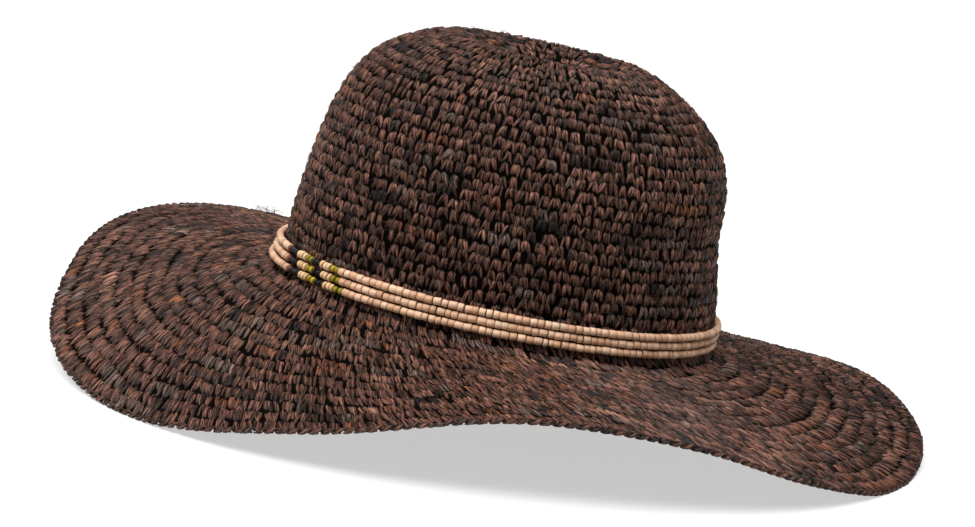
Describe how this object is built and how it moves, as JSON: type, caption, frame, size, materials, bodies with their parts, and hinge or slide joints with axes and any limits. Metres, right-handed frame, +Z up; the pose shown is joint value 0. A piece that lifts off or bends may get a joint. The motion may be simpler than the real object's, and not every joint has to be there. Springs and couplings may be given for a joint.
{
  "type": "sun hat",
  "caption": "Wide-brimmed crocheted raffia sun hat with a dented tapering crown, a waved brim and a hatband of bead strings; it stands on its brim.",
  "frame": {"origin": "on the surface that the hat rests on, under the middle of the brim's plan oval", "axes": "+Z up; +X along the head opening's long side, towards the side that the crown leans to; +Y towards the brim's raised fold behind"},
  "size_m": [0.4159, 0.3819, 0.1719],
  "materials": {
    "raffia": "dark brown dyed raffia, crocheted in rounds, with a dull satin straw sheen",
    "bead_wood": "pale tan wooden tube beads, fine sanded, unvarnished"
  },
  "bodies": {
    "root": {"crochet_body": "raffia", "bead_strand_lower": "bead_wood", "bead_strand_middle": "bead_wood", "bead_strand_upper": "bead_wood"}
  },
  "joints": []
}
